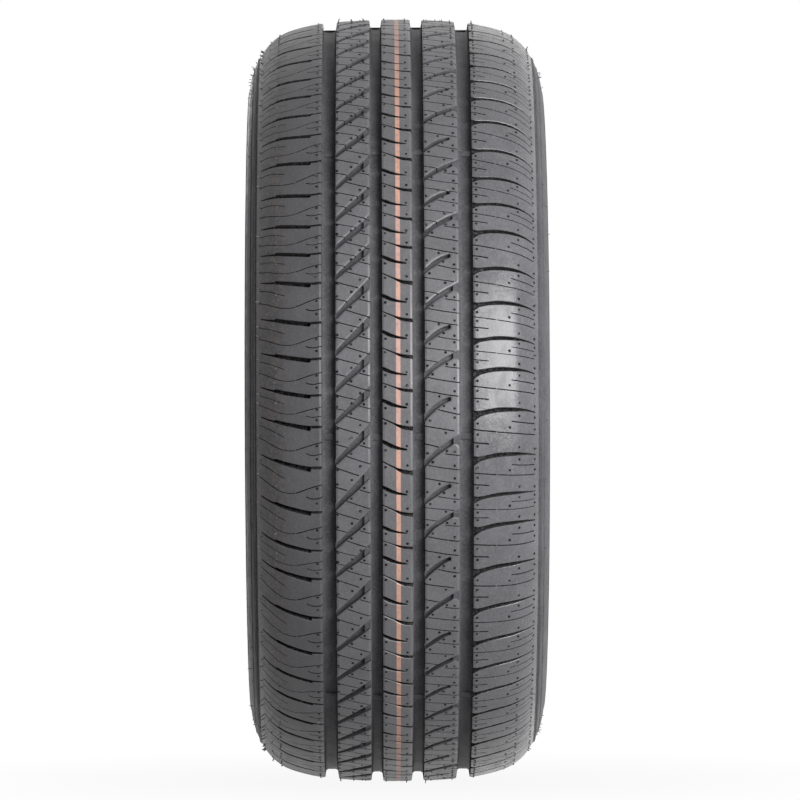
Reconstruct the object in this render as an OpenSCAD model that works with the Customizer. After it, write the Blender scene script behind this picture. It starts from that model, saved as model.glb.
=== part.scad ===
// Road tyre for a passenger car, moulded in one piece of rubber round two beads.
// It stands upright, as it rolls: its spin axis is Y, and its centre is the origin.

/* [Overall] */
// Height of the section, from the bead seat to the middle of the tread
section_h = 96; // [84:1:110]
// Width of the tread from edge to edge
tread_w = 228; // [200:1:250]
// How far each sidewall stands out beyond the tread edge
side_bulge = 10.7; // [9:0.1:13]
// Height above the bead seat at which the sidewalls are widest
widest_h = 29.5; // [26:0.5:34]

/* [Bead] */
// Diameter of each bead seat, a little under the rim's so that it grips
bead_d = 461; // [385:0.5:512]
// How far the heel of each bead lies inside the tread edge
heel_in = 6; // [5:0.5:8]
// Length of each bead's cylindrical seat
seat_l = 12; // [10:0.5:13]
// Radius of the heel
heel_r = 6.5; // [5:0.5:7]
// Width of the toe beyond the seat
toe_w = 3; // [2:0.5:4]
// Height of the straight side that lies against the rim's flange
flange_side = 2; // [1:0.5:3]
// Radius that the rim's flange leaves in the side of the bead
flange_r = 9.5; // [8:0.5:10]
// Width of the flat crest that guards the rim
guard_w = 5.5; // [4:0.5:6]

/* [Crown] */
// Radius of the crown in section, over the middle ribs
crown_r = 620; // [500:10:900]
// Radius in section of the outer ribs beside it
rib_r = 150; // [130:5:170]
// Slope in degrees where the rounded shoulder starts
rib_slope = 18; // [16:0.5:20]
// Radius of the rounded shoulder in section
shoulder_r = 45; // [40:1:50]
// Slope in degrees at the edge of the tread
edge_slope = 60; // [56:1:64]

/* [Wall] */
// Thickness under the middle of the tread, ribs included
crown_wall = 16; // [14:0.5:18]
// Thickness of the sidewalls
side_wall = 9.5; // [8:0.5:11]
// Height of the thick part of the bead above its seat
bead_h = 15; // [12:0.5:18]
// How far the inner side of the bead leans outwards over that height
bead_lean = 9; // [7:0.5:11]
// Half the width of the nearly flat part of the inner crown
liner_w = 70; // [66:1:76]
// Drop of the inner crown at the ends of that part
liner_drop = 2.5; // [1.5:0.5:4]
// Height of the fine ring below each tread edge
ring_h = 0.8; // [0.5:0.1:1.2]
// Distance of that ring below the tread edge
ring_drop = 7; // [5:0.5:10]

/* [Grooves round the tyre] */
// Depth of the four grooves
groove_depth = 8; // [7:0.5:9]
// Distance of the two inner grooves from the middle
inner_z = 17.2; // [16.5:0.1:18]
// Width of the inner grooves at the top
inner_w = 10.4; // [9:0.2:11]
// Distance of the two outer grooves from the middle
outer_z = 55.9; // [55:0.1:57]
// Width of the outer grooves at the top
outer_w = 12; // [10.8:0.2:12.6]
// Draft of the groove walls in degrees
groove_draft = 8; // [4:1:12]
// Number of wear bars round each groove
wear_bars = 8; // [6:1:9]
// Height of the wear bars
wear_h = 1.6; // [1:0.2:2]
// Length of a wear bar round the tyre
wear_l = 6; // [4:1:9]

/* [Grooves across the ribs] */
// Depth of the main grooves across the shoulders
shoulder_depth = 6.5; // [5:0.5:7.5]
// Depth of the slanted grooves and slots in the three middle ribs
rib_depth = 5.5; // [4:0.5:6.5]
// Depth of the shallow channels that join them to the round grooves
channel_depth = 2; // [1.5:0.5:3]
// Turn of the left half of the pattern against the middle rib, in degrees
left_turn = 3.35; // [3:0.05:4]
// Turn of the right half of the pattern against the middle rib, in degrees
right_turn = -4.87; // [-5.5:0.05:-4.5]

/* [Hidden] */
$fn = 180;

// Lengths of the four pitches of the pattern, as ratios of the shortest
pitch_ratios = [1, 1.167, 1.308, 1.462];
// Each pitch of the pattern, in order round the tyre: 0 is the shortest, 3 the longest
pitches = [
    2, 1, 2, 0, 0, 0, 1, 2, 1, 0, 0, 2, 1, 1, 0, 2, 3, 2, 0, 3, 3, 2, 1, 1, 1, 0, 0, 2, 1,
    0, 1, 3, 2, 1, 1, 1, 0, 2, 3, 1, 0, 1, 1, 2, 2, 0, 1, 1, 3, 2, 1, 0, 0, 2, 1, 1, 0, 2,
    1, 3, 0, 1, 0, 2, 2, 1, 0
];
// Angle at which the first pitch starts, downwards from the front of the tyre
first_pitch = -76.95;
// Length of the pitch that the outlines below are drawn for
drawn_pitch = 34;
// Distances from the middle that they are drawn for: 1 mm inside the edges of the inner
// groove, the same for the outer groove, and the tread edge
drawn_marks = [13, 21.4, 50.9, 60.9, 114];
// What the round grooves overlap the grooves across the ribs by
run_out = 1;
// What the cutters stand proud of the tread by
clear = 3;
// Size of the broken corners at the bottom of the round grooves
floor_corner = 1;
// How far the wear bars reach below the groove floor
let_in = 1;
// Angle of the first wear bar
first_bar = 5.3;

seat_r = bead_d / 2;
top_r = seat_r + section_h;
widest_r = seat_r + widest_h;
edge_z = tread_w / 2;
heel_z = edge_z - heel_in;
side_z = edge_z + side_bulge;

// Running total of the pitch lengths, in units of the shortest
function running(values, i = 0, sum = 0) =
    i == len(values) ? [sum] : concat([sum], running(values, i + 1, sum + values[i]));
pitch_units = [for (p = pitches) pitch_ratios[p]];
unit_starts = running(pitch_units);
unit_angle = 360 / unit_starts[len(pitches)];
pitch_count = len(pitches);

// Section points are [radius, distance from the middle]; an arc's angle is the slope there
function arc(centre, radius, from, to, steps) =
    [for (i = [0:steps]) let (a = from + (to - from) * i / steps) centre + radius * [cos(a), sin(a)]];
function bend(a, b, c, steps) =
    [for (i = [0:steps]) let (t = i / steps) (1 - t) * (1 - t) * a + 2 * t * (1 - t) * b + t * t * c];

// The crown is three arcs, each tangent to the next, that end at the tread edge
crown_slope = asin(
    (edge_z - rib_r * sin(rib_slope) - shoulder_r * (sin(edge_slope) - sin(rib_slope))) / (crown_r - rib_r)
);
crown_c = [top_r - crown_r, 0];
rib_c = crown_c + (crown_r - rib_r) * [cos(crown_slope), sin(crown_slope)];
shoulder_c = rib_c + (rib_r - shoulder_r) * [cos(rib_slope), sin(rib_slope)];
edge_r = shoulder_c[0] + shoulder_r * cos(edge_slope);

function on_arc(centre, radius, z) = centre[0] + sqrt(radius * radius - (z - centre[1]) * (z - centre[1]));
function tread_r(at) = let (z = abs(at))
    z < crown_r * sin(crown_slope) ? on_arc(crown_c, crown_r, z)
    : z < rib_c[1] + rib_r * sin(rib_slope) ? on_arc(rib_c, rib_r, z)
    : z < edge_z ? on_arc(shoulder_c, shoulder_r, z)
    : edge_r - (z - edge_z) * tan(edge_slope);

// The upper sidewall is one arc from the tread edge to the widest point
side_rise = edge_r - widest_r;
side_r = (side_rise * side_rise + side_bulge * side_bulge) / (2 * side_bulge);
side_c = [widest_r, side_z - side_r];
side_start = atan2(edge_z - side_c[1], edge_r - side_c[0]);
function on_side(angle, out = 0) = side_c + (side_r + out) * [cos(angle), sin(angle)];
ring_angle = side_start + ring_drop / side_r * 180 / PI;
ring_step = ring_h / side_r * 180 / PI;

flange_c = [seat_r + heel_r + flange_side, heel_z + flange_r];
guard_r = widest_r - guard_w;
guard_drop = side_z - heel_z - flange_r;

// The middle rib is a cylinder and the ribs beside it are cones, which meet in the round grooves
outer_half = concat(
    [[top_r, inner_z]],
    arc(rib_c, rib_r, crown_slope, rib_slope, 2),
    tail(arc(shoulder_c, shoulder_r, rib_slope, edge_slope, 4)),
    [on_side(ring_angle - 2 * ring_step), on_side(ring_angle - ring_step, ring_h)],
    [on_side(ring_angle + ring_step, ring_h), on_side(ring_angle + 2 * ring_step)],
    [for (i = [1:5]) on_side(ring_angle + 2 * ring_step + (90 - ring_angle - 2 * ring_step) * i / 5)],
    bend([guard_r, side_z], [guard_r - 3, side_z], [guard_r - 3.5, side_z - guard_drop * 0.4], 3),
    arc(flange_c, flange_r, 0, -90, 4),
    arc([seat_r + heel_r, heel_z - heel_r], heel_r, 90, 180, 4),
    [[seat_r, heel_z - heel_r - seat_l]]
);
toe_z = heel_z - heel_r - seat_l - toe_w;
liner_r = top_r - crown_wall;
inner_widest = [widest_r, side_z - side_wall];
inner_half = concat(
    [[liner_r, liner_w / 3]],
    bend(
        [liner_r - liner_drop, liner_w],
        [liner_r - liner_drop * 5, inner_widest[1] - side_wall / 3],
        inner_widest,
        7
    ),
    bend(inner_widest - [1, 0.2], [seat_r + bead_h, toe_z + bead_lean], [seat_r + 1.5, toe_z - 1], 6),
    [[seat_r - 1.2, toe_z]]
);

function flip(points) = [for (p = points) [p[0], -p[1]]];
function tail(points) = [for (i = [1:len(points) - 1]) points[i]];
function backwards(points) = [for (i = [len(points) - 1:-1:0]) points[i]];

module section() {
    polygon(concat(
        backwards(flip(outer_half)),
        outer_half,
        backwards(inner_half),
        flip(inner_half)
    ));
}

// One round groove in section, with its bottom corners broken
module groove_section(z, w) {
    floor_r = tread_r(z) - groove_depth;
    foot = w / 2 - groove_depth * tan(groove_draft);
    corner = foot + floor_corner * tan(groove_draft);
    mouth = w / 2 + clear * tan(groove_draft);
    top = tread_r(z) + clear;
    polygon([
        [floor_r, z - foot + floor_corner], [floor_r + floor_corner, z - corner], [top, z - mouth],
        [top, z + mouth], [floor_r + floor_corner, z + corner], [floor_r, z + foot - floor_corner]
    ]);
}

// The wear bars of one round groove, let into its floor and walls
module bars_round(z, w) {
    bar_angle = wear_l / top_r * 180 / PI;
    for (i = [0:wear_bars - 1])
        rotate([0, 0, first_bar - bar_angle / 2 + i * 360 / wear_bars])
            rotate_extrude(angle = bar_angle)
                translate([tread_r(z) - groove_depth - let_in, z - w / 2])
                    square([wear_h + let_in, w]);
}

// Where a drawn distance from the middle falls on this tread
marks = [
    inner_z - inner_w / 2 + run_out, inner_z + inner_w / 2 - run_out,
    outer_z - outer_w / 2 + run_out, outer_z + outer_w / 2 - run_out, edge_z
];
mark_pairs = concat(
    [[0, 0]],
    [for (i = [0:len(marks) - 1]) [drawn_marks[i], marks[i]]],
    [[drawn_marks[4] + 10, edge_z + 10]]
);
function across(z) = sign(z) * lookup(abs(z), mark_pairs);

// A cutter: an outline drawn on the tread as [distance from the middle, distance down],
// cut to a floor given as [distance from the middle, depth]
module cut(outline, floor_line, stretch) {
    reach = [min([for (p = outline) p[1]]), max([for (p = outline) p[1]])] * stretch;
    low = tread_r(edge_z) - groove_depth;
    first = across(floor_line[0][0]);
    last = across(floor_line[len(floor_line) - 1][0]);
    intersection() {
        translate([low, 0, 0])
            rotate([0, 90, 0])
                linear_extrude(height = top_r + clear - low)
                    polygon([for (p = outline) [-across(p[0]), p[1] * stretch]]);
        translate([0, reach[0] - 1, 0])
            rotate([0, -90, -90])
                linear_extrude(height = reach[1] - reach[0] + 2)
                    polygon(concat(
                        [for (p = floor_line) [across(p[0]), tread_r(across(p[0])) - p[1]]],
                        [[last, top_r + 2 * clear], [first, top_r + 2 * clear]]
                    ));
    }
}

module left_shoulder_groove(k) {
    cut(
        [
            [-118, -11.6], [-100, -5.9], [-84, -2.4], [-60.9, -0.2], [-60.9, 1],
            [-71.5, 1.6], [-72, 4], [-86, 1.4], [-100, -3], [-118, -10.2]
        ],
        [
            [-119, 1.5], [-100, shoulder_depth - 1], [-88, shoulder_depth],
            [-71.6, shoulder_depth], [-71.5, channel_depth], [-59.9, channel_depth]
        ],
        k
    );
}

module left_rib_groove(k) {
    cut(
        [
            [-50.9, -5.2], [-38, -17.2], [-28.8, -26.4], [-28.4, -27.6], [-21.4, -31.2],
            [-21.4, -25.6], [-26.5, -21.5], [-30, -19.2], [-43, -6.2], [-50.9, -0.9]
        ],
        [
            [-51.9, rib_depth], [-26.5, rib_depth], [-26.4, channel_depth],
            [-20.4, channel_depth]
        ],
        k
    );
}

module middle_hook_slot(k) {
    cut(
        [
            [-13, -4], [-5, -0.3], [0, 1.7], [7, 3.3], [7.8, 1.5], [9, 1.5], [8.2, 4.8],
            [-4, 3.2], [-13, -1.4]
        ],
        [[-14, rib_depth], [11, rib_depth]],
        k
    );
}

module middle_open_slot(k) {
    cut(
        [
            [-13, 11.9], [-3, 16.5], [0, 17.7], [8, 19.3], [13, 19.2],
            [13, 24.2], [8.7, 22.4], [3, 21.2], [-3, 17.8], [-13, 12.8]
        ],
        [
            [-14, rib_depth], [8.6, rib_depth], [8.7, channel_depth],
            [14, channel_depth]
        ],
        k
    );
}

module right_rib_groove(k) {
    cut(
        [
            [21.4, 3.4], [25, 0.6], [30, -4.2], [40, -11.4], [50.9, -17.4],
            [50.9, -8.2], [45.3, -9.6], [35, -2.6], [28, 3], [21.4, 9.6]
        ],
        [
            [20.4, rib_depth], [45.2, rib_depth], [45.3, channel_depth],
            [51.9, channel_depth]
        ],
        k
    );
}

module right_rib_blind_groove(k) {
    cut(
        [
            [21.4, 3.4], [29, -4], [36, -8.4], [42.4, -10.8], [43.4, -9.4], [43, -7.4],
            [35, -3.5], [28, 2.8], [21.4, 8.6]
        ],
        [[20.4, rib_depth], [44, rib_depth]],
        k
    );
}

module right_shoulder_groove(k) {
    cut(
        [
            [60.9, -1.5], [64, 0.8], [72, 0], [84, -1.7], [98, -0.9], [115, 5],
            [115, 5.6], [100, 2], [85, 1.5], [71, 3.5], [66, 5.2], [60.9, 9.4]
        ],
        [
            [59.9, channel_depth + 1.5], [70.9, channel_depth + 1.5], [71, shoulder_depth],
            [94, shoulder_depth], [108, 3], [116, 0.5]
        ],
        k
    );
}

// Sets the children that belong to pitch i at its place, turned from the middle rib's
module at_pitch(i, turn) {
    rotate([0, 0, first_pitch + turn + unit_starts[i] * unit_angle]) children();
}

module cross_grooves() {
    for (i = [0:pitch_count - 1]) {
        k = pitch_units[i] * unit_angle * PI / 180 * top_r / drawn_pitch;
        at_pitch(i, left_turn) {
            left_shoulder_groove(k);
            left_rib_groove(k);
        }
        at_pitch(i, 0) {
            middle_hook_slot(k);
            middle_open_slot(k);
        }
        at_pitch(i, right_turn) {
            if (i % 2 == 0) right_rib_blind_groove(k);
            else right_rib_groove(k);
            right_shoulder_groove(k);
        }
    }
}

module tyre() {
    color([0.3, 0.3, 0.31])
        rotate([-90, 0, 0])
            difference() {
                union() {
                    rotate_extrude() difference() {
                        section();
                        for (side = [-1, 1]) {
                            groove_section(side * inner_z, inner_w);
                            groove_section(side * outer_z, outer_w);
                        }
                    }
                    for (side = [-1, 1]) {
                        bars_round(side * inner_z, inner_w);
                        bars_round(side * outer_z, outer_w);
                    }
                }
                cross_grooves();
            }
}

tyre();
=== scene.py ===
"""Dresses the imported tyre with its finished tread, its rubber and a plain studio."""

import math
import random

import bmesh
import bpy
import numpy as np
from mathutils import Matrix, Vector
from mathutils.geometry import delaunay_2d_cdt


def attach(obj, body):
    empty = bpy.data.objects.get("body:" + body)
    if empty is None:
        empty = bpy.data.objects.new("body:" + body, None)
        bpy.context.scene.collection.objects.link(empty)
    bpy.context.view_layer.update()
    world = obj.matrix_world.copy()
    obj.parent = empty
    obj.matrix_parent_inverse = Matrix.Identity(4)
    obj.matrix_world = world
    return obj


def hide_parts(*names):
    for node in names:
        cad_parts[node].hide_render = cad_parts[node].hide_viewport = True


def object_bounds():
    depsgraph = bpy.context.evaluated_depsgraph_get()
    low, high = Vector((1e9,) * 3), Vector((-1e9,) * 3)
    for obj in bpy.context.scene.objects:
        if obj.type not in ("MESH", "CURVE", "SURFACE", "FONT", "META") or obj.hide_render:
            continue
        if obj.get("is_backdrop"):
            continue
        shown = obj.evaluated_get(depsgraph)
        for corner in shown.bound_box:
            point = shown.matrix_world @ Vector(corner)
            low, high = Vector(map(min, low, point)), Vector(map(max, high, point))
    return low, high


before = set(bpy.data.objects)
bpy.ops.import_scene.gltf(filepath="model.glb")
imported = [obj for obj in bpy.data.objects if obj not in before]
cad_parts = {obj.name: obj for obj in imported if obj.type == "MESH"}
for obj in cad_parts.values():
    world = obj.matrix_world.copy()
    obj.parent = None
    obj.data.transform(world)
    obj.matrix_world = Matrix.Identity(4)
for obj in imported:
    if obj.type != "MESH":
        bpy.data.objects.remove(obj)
cad_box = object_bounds()

bl_info = {
    "name": "Road tyre",
    "version": (1, 0, 0),
    "blender": (4, 5, 0),
    "location": "View3D > Sidebar > Tyre",
    "description": "Tread, sidewalls, rubber and studio of a road tyre",
    "category": "Object",
}

MM = 0.001

# Sizes of the section in millimetres: distances across are from the middle plane
TOP_R = (cad_box[1].z - cad_box[0].z) / MM / 2
SIDE_Z = (cad_box[1].y - cad_box[0].y) / MM / 2
EDGE_Z = 114.0
CROWN_R = 620.0
RIB_R = 150.0
SHOULDER_R = 45.0
RIB_SLOPE = math.radians(18)
EDGE_SLOPE = math.radians(60)
WIDEST_R = 260.0
GROOVES = ((17.2, 10.4), (55.9, 12.0))
DRAFT = math.tan(math.radians(8))
STRIP_END = 115.4
HIDDEN = 0.4
ROUND = 2 * math.pi * TOP_R
SEAM = -ROUND / 2

# Pitches of the tread, as ratios of the shortest, from the first one's angle in degrees
PITCH_RATIOS = (1, 1.167, 1.308, 1.462)
PITCHES = (
    2, 1, 2, 0, 0, 0, 1, 2, 1, 0, 0, 2, 1, 1, 0, 2, 3, 2, 0, 3, 3, 2, 1, 1, 1, 0, 0, 2, 1,
    0, 1, 3, 2, 1, 1, 1, 0, 2, 3, 1, 0, 1, 1, 2, 2, 0, 1, 1, 3, 2, 1, 0, 0, 2, 1, 1, 0, 2,
    1, 3, 0, 1, 0, 2, 2, 1, 0,
)
FIRST_PITCH = -76.95
DRAWN_PITCH = 34.0
BACK_FIXED = 0.57
BACK_STRETCH = 0.42
LEFT_TURN = 3.35
RIGHT_TURN = -4.87

# Depth of the softened edges of the cuts, which is also the width of most of them, the width along
# the slanted grooves, the slopes along the ribs, and the widths and depths of the fine cuts
SOFT_EDGE = 0.4
WIDE_EDGE = 1.3
RIM_W = 1.5
RIM_DEPTH = 0.5
FINE_W = 0.9
FAINT_W = 0.65
FINE_DEPTH = 4.5
FAINT_DEPTH = 1.5

# Spacing of the points between the cuts, down and across, and how far they keep from a cut
GRID_DOWN = 6
GRID_ACROSS = 3.6
GRID_CLEAR = 1.2
LEAST_DEPTH = 0.05
STRIP_FOOT = 4

# Wear bars in each round groove, in millimetres, and the angle of the first one in degrees
BARS = 8
BAR_LENGTH = 5.6
BAR_HEIGHT = 1.6
BAR_BEVEL = 0.8
FIRST_BAR = 5.3

# Vent stubs on the outer left shoulder: how far across they are long, and have no painted shadow round them
LONG_FROM = -110
UNSHADED_FROM = -96
LONG_SHARE = 0.1
SIDE_HAIRS = 160

# The studio in metres, with the camera's angles in degrees
FLOOR_SIZE = 40
FLOOR_GAP = 0.0004
KEY_SIZE = 2.0
KEY_PLACE = (2.386, 1.734, 0.547)
BACK_SIZE = 1.2
BACK_PLACE = (-3.2, -0.3, 0.05)
CAMERA_FAR = 5.629
CAMERA_LENS = 294.9
CAMERA_SHIFT = (0.0045, 0.0004)
CAMERA_TURN = -0.165
CAMERA_ROLL = -0.17


# Section of the tread

CROWN_SLOPE = math.asin(
    (EDGE_Z - RIB_R * math.sin(RIB_SLOPE) - SHOULDER_R * (math.sin(EDGE_SLOPE) - math.sin(RIB_SLOPE)))
    / (CROWN_R - RIB_R)
)


def arc_centre(start, radius, next_radius, slope):
    """Centre (radius, across) of the arc that goes on from another one at a slope."""
    step = radius - next_radius
    return start[0] + step * math.cos(slope), start[1] + step * math.sin(slope)


CROWN_C = (TOP_R - CROWN_R, 0.0)
RIB_C = arc_centre(CROWN_C, CROWN_R, RIB_R, CROWN_SLOPE)
SHOULDER_C = arc_centre(RIB_C, RIB_R, SHOULDER_R, RIB_SLOPE)
EDGE_R = SHOULDER_C[0] + SHOULDER_R * math.cos(EDGE_SLOPE)
SIDE_BULGE = SIDE_Z - EDGE_Z
SIDE_R = ((EDGE_R - WIDEST_R) ** 2 + SIDE_BULGE**2) / (2 * SIDE_BULGE)
SIDE_C = (WIDEST_R, SIDE_Z - SIDE_R)

# Sizes of the bead and the inside, and the fine rings of the sidewall as distance below the
# tread edge, height, which is below 0 for a groove, and half their width
SEAT_R = 230.5
HEEL_Z = 108.0
HEEL_R = 6.5
FLANGE_R = 9.5
GUARD_W = 5.5
SEAT_END = 89.5
TOE_Z = 86.5
SIDE_WALL = 9.5
LINER_R = 310.5
SIDE_START = math.degrees(math.asin((EDGE_Z - SIDE_C[1]) / SIDE_R))
SIDE_RINGS = ((4.9, 0.8, 1.0), (7.3, -0.6, 0.5), (13.5, 0.4, 0.6), (34.0, 0.5, 0.7))
SPIN_STEPS = 240


def on_arc(centre, radius, z):
    """Radius of the tyre at a distance across, on one arc of its section."""
    return centre[0] + np.sqrt(np.maximum(radius**2 - (z - centre[1]) ** 2, 0))


def outer_r(across):
    """Radius of the tread, and of the top of the sidewall, at distances across in mm."""
    z = np.abs(np.asarray(across, float))
    return np.select(
        [z < CROWN_R * math.sin(CROWN_SLOPE), z < RIB_C[1] + RIB_R * math.sin(RIB_SLOPE), z < EDGE_Z],
        [on_arc(CROWN_C, CROWN_R, z), on_arc(RIB_C, RIB_R, z), on_arc(SHOULDER_C, SHOULDER_R, z)],
        on_arc(SIDE_C, SIDE_R, z),
    )


# The tread pattern: points are [across, down], for a pitch of the drawn length


class Cut:
    """An outline sunk into a rib, down to a floor given as [across, depth]."""

    def __init__(self, outline, floor, edge=SOFT_EDGE):
        self.outline = np.array(outline, float)
        self.floor_z, self.floor_depth = np.array(floor, float).T
        self.edge = edge

    def depth(self, z):
        return np.interp(z, self.floor_z, self.floor_depth)


def sipe(line, width=FINE_W, depth=FINE_DEPTH):
    """A fine cut along a line, as wide as the blade that moulds it."""
    line = np.array(line, float)
    run = np.gradient(line, axis=0)
    run /= np.linalg.norm(run, axis=1)[:, None]
    side = np.stack([-run[:, 1], run[:, 0]], axis=1) * width / 2
    return Cut(np.concatenate([line + side, (line - side)[::-1]]), [[-120, depth], [120, depth]], 0)


def faint(line):
    return sipe(line, FAINT_W, FAINT_DEPTH)


LEFT_SHOULDER = [
    Cut(
        [
            [-111, -8], [-105, -5.7], [-100, -4.6], [-99.2, -5.4], [-95, -4.3], [-90, -3.1],
            [-85, -2.2], [-80, -1.2], [-75, -0.5], [-70.5, 0], [-70.5, 3.4], [-72.2, 4],
            [-76, 3.3], [-80, 2.6], [-85, 1.6], [-90, 0.6], [-95, -0.8], [-100, -2.4],
            [-105, -4.2], [-111, -7],
        ],
        [[-112, 1.5], [-106, 4.2], [-100, 5.5], [-88, 7], [-60, 7]],
    ),
    Cut([[-72, 0], [-60, -0.6], [-60, 1.2], [-66, 1.9], [-72, 2.1]], [[-80, 3.5], [-60, 3.5]]),
    sipe(
        [
            [-112.5, 11.6], [-108, 13.9], [-104, 16], [-99, 18.6], [-94, 20.5], [-88, 21.2],
            [-83.4, 20.6],
        ],
        0.7,
    ),
    sipe([[-82.6, 20.4], [-78, 18.8], [-72, 16.4], [-66, 14.5], [-60, 12.9]]),
    faint([[-112, 0.7], [-108, 2.2], [-103, 4.3], [-98.6, 6.6]]),
    faint([[-97.9, 7], [-95, 8.3], [-91.5, 10]]),
    sipe([[-74.2, 22.8], [-71.5, 24], [-68, 24.4], [-65, 23.8], [-60, 22.6]]),
]
LEFT_RIB = [
    Cut(
        [
            [-52, -4.5], [-49.9, -6.7], [-41, -16.7], [-31.6, -27], [-28.3, -30.6], [-27, -30.2],
            [-27.2, -23], [-31.6, -18.6], [-41, -10.2], [-49.9, -1.4], [-52, 0.6],
        ],
        [[-52, 5.5], [-40, 5], [-20, 5]],
        WIDE_EDGE,
    ),
    Cut(
        [[-28.2, -30.6], [-24.1, -35.3], [-20, -39.7], [-20, -30.2], [-23.9, -26.3], [-27.8, -22.4]],
        [[-30, 2], [-20, 2]],
        WIDE_EDGE,
    ),
    sipe([[-52, -0.6], [-45, 2], [-36, 4.7], [-31.5, 6]]),
    sipe([[-52, 14.4], [-40.8, 17.4]]),
    sipe([[-41.5, -9.4], [-33, -6.4], [-27, -4.5], [-20, -2.4]]),
    sipe([[-31, -18.6], [-27, -17.4], [-20, -15.5]]),
]
MIDDLE_RIB = [
    Cut(
        [
            [-13, -4.2], [-9, -2.4], [-5, -0.3], [0, 1.7], [4, 2.7], [7.5, 3.5], [7.5, 4.5],
            [4, 4.4], [0, 4], [-5, 2.9], [-8, 1.7], [-13, -1],
        ],
        [[-14, 5.5], [14, 5.5]],
    ),
    Cut(
        [
            [-13, 11.8], [-9, 13.9], [-3, 16.5], [0, 17.5], [4, 18.7], [8.7, 19.4], [8.7, 22.3],
            [6, 22.2], [3, 21.2], [0, 19.7], [-3, 17.7], [-9, 14.8], [-13, 12.8],
        ],
        [[-14, 5.5], [14, 5.5]],
    ),
    Cut([[8, 19.5], [13, 19.3], [13, 23.2], [8, 22.2]], [[-14, 4.5], [14, 4.5]]),
]
RIGHT_RIB_OPEN = [
    Cut(
        [
            [21, 3.6], [23, 2.1], [25, 0.6], [30, -4.3], [35, -7.9], [40, -11.4], [45.3, -14.5],
            [45.3, -9.7], [44, -8.5], [40, -5.9], [35, -2.5], [30, 1.1], [28, 3.1], [25, 6.1],
            [23, 8.7], [21, 10.6],
        ],
        [[20, 5.5], [52, 5.5]],
        WIDE_EDGE,
    ),
    Cut(
        [[44.6, -14.2], [52, -18.3], [52, -3.6], [50, -7], [48.6, -9.2], [44.6, -9.9]],
        [[20, 2], [52, 2]],
        WIDE_EDGE,
    ),
    sipe([[38.5, -2], [44, -1.1], [52, -0.2]]),
    sipe([[24.5, 7.2], [30, 8.4], [38, 9.9], [52, 11.8]]),
    sipe([[21, 17.9], [30, 19.6], [38, 21.2], [49.5, 22.8]]),
]
RIGHT_RIB_BLIND = [
    Cut(
        [
            [21, 3.6], [23, 2.2], [26, -0.8], [29, -3.9], [33, -6.6], [36, -8.4], [42.4, -11],
            [43.5, -9.8], [43.2, -7.6], [39, -5.8], [35, -3.1], [31.5, -0.2], [28, 2.7],
            [25, 5.2], [23, 7.8], [21, 9.4],
        ],
        [[20, 5.5], [52, 5.5]],
        WIDE_EDGE,
    ),
    sipe([[32.8, -0.4], [38, 0.9], [44, 2.2], [52, 3.6]]),
    sipe([[21, 11.4], [30, 12.9], [39, 14.3], [46, 15.4]]),
    sipe([[21, 24.6], [27.5, 25.8], [33.6, 27.4]]),
]
RIGHT_SHOULDER = [
    Cut(
        [
            [70.9, 0.1], [76, -0.8], [80, -1.5], [85, -1.8], [90, -1.7], [95, -1.5], [100, -0.9],
            [105, 0.1], [108, 1], [112, 2.4], [112, 3.3], [108, 2.3], [105, 1.7], [100, 1.4],
            [95, 1.5], [90, 1.4], [85, 1.6], [80, 2], [76, 2.5], [70.9, 3.6],
        ],
        [[60, 7], [94, 6.5], [104, 4.3], [111, 2.2], [116.8, 0.3]],
    ),
    Cut(
        [
            [60, -1.2], [62, 0.4], [65, 1.1], [71.5, 0.1], [71.5, 3.5], [67, 4.8], [64, 6.8],
            [61.5, 8.9], [60, 10.8],
        ],
        [[60, 3.5], [72, 3.5]],
    ),
    sipe([[60, 14.4], [66, 15], [74, 15.9], [80, 16.5]], 1.0),
    sipe([[80.8, 16.6], [88, 17.4], [95, 18.1], [101, 18.8], [106, 19.5], [111.5, 20.4]], 0.9),
    sipe([[60, 24.2], [66, 24.6], [74, 25.4]], 1.1),
    sipe([[92.6, 8.9], [100, 10], [106, 10.8], [111.2, 11.6]], 0.9),
]

# Each rib: its edges across, the turn of its half of the pattern, and the cuts of its pitches in turn
RIBS = {
    "rib_1": (-STRIP_END, -61.9, LEFT_TURN, (LEFT_SHOULDER,)),
    "rib_2": (-49.9, -22.4, LEFT_TURN, (LEFT_RIB,)),
    "rib_3": (-12.0, 12.0, 0.0, (MIDDLE_RIB,)),
    "rib_4": (22.4, 49.9, RIGHT_TURN, (RIGHT_RIB_BLIND, RIGHT_RIB_OPEN)),
    "rib_5": (61.9, STRIP_END, RIGHT_TURN, (RIGHT_SHOULDER,)),
}

# Where the air vents of the mould leave a stub, for each rib and each kind of pitch
STUBS = {
    "rib_1": (
        [
            [-65.5, 16.2], [-65.5, 27.4], [-98.5, 8.6], [-98.5, 16], [-98.8, 22.4],
            [-112.6, -1.6], [-112.6, 9.4], [-106, 24],
        ],
    ),
    "rib_2": ([[-48.7, 1.8], [-48.8, 12.8], [-37.2, 9.3], [-37.6, -11.6], [-30.2, -1.2], [-27.2, -20.2]],),
    "rib_3": ([[-9.7, 4.3], [-9.8, 16.8], [7.8, 15.6], [7.5, 1.2]],),
    "rib_4": (
        [[33.8, -11.2], [24, -4.4], [37.6, -3.4], [46.2, -1.2], [46.2, 5.6], [26.3, 7.6], [39, 16.6]],
        [[24.2, -2.5], [28.5, 4.7], [40, -4.1], [46.3, -3.4], [46.3, 8], [46.3, 18.6]],
    ),
    "rib_5": (
        [
            [64.8, 10], [64.8, 18.3], [64.8, 27], [98.9, -5.4], [98.9, 4.9], [91, 13.5],
            [111.6, -2.4], [111.6, 6.9], [111.6, 16.2],
        ],
    ),
}


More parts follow.
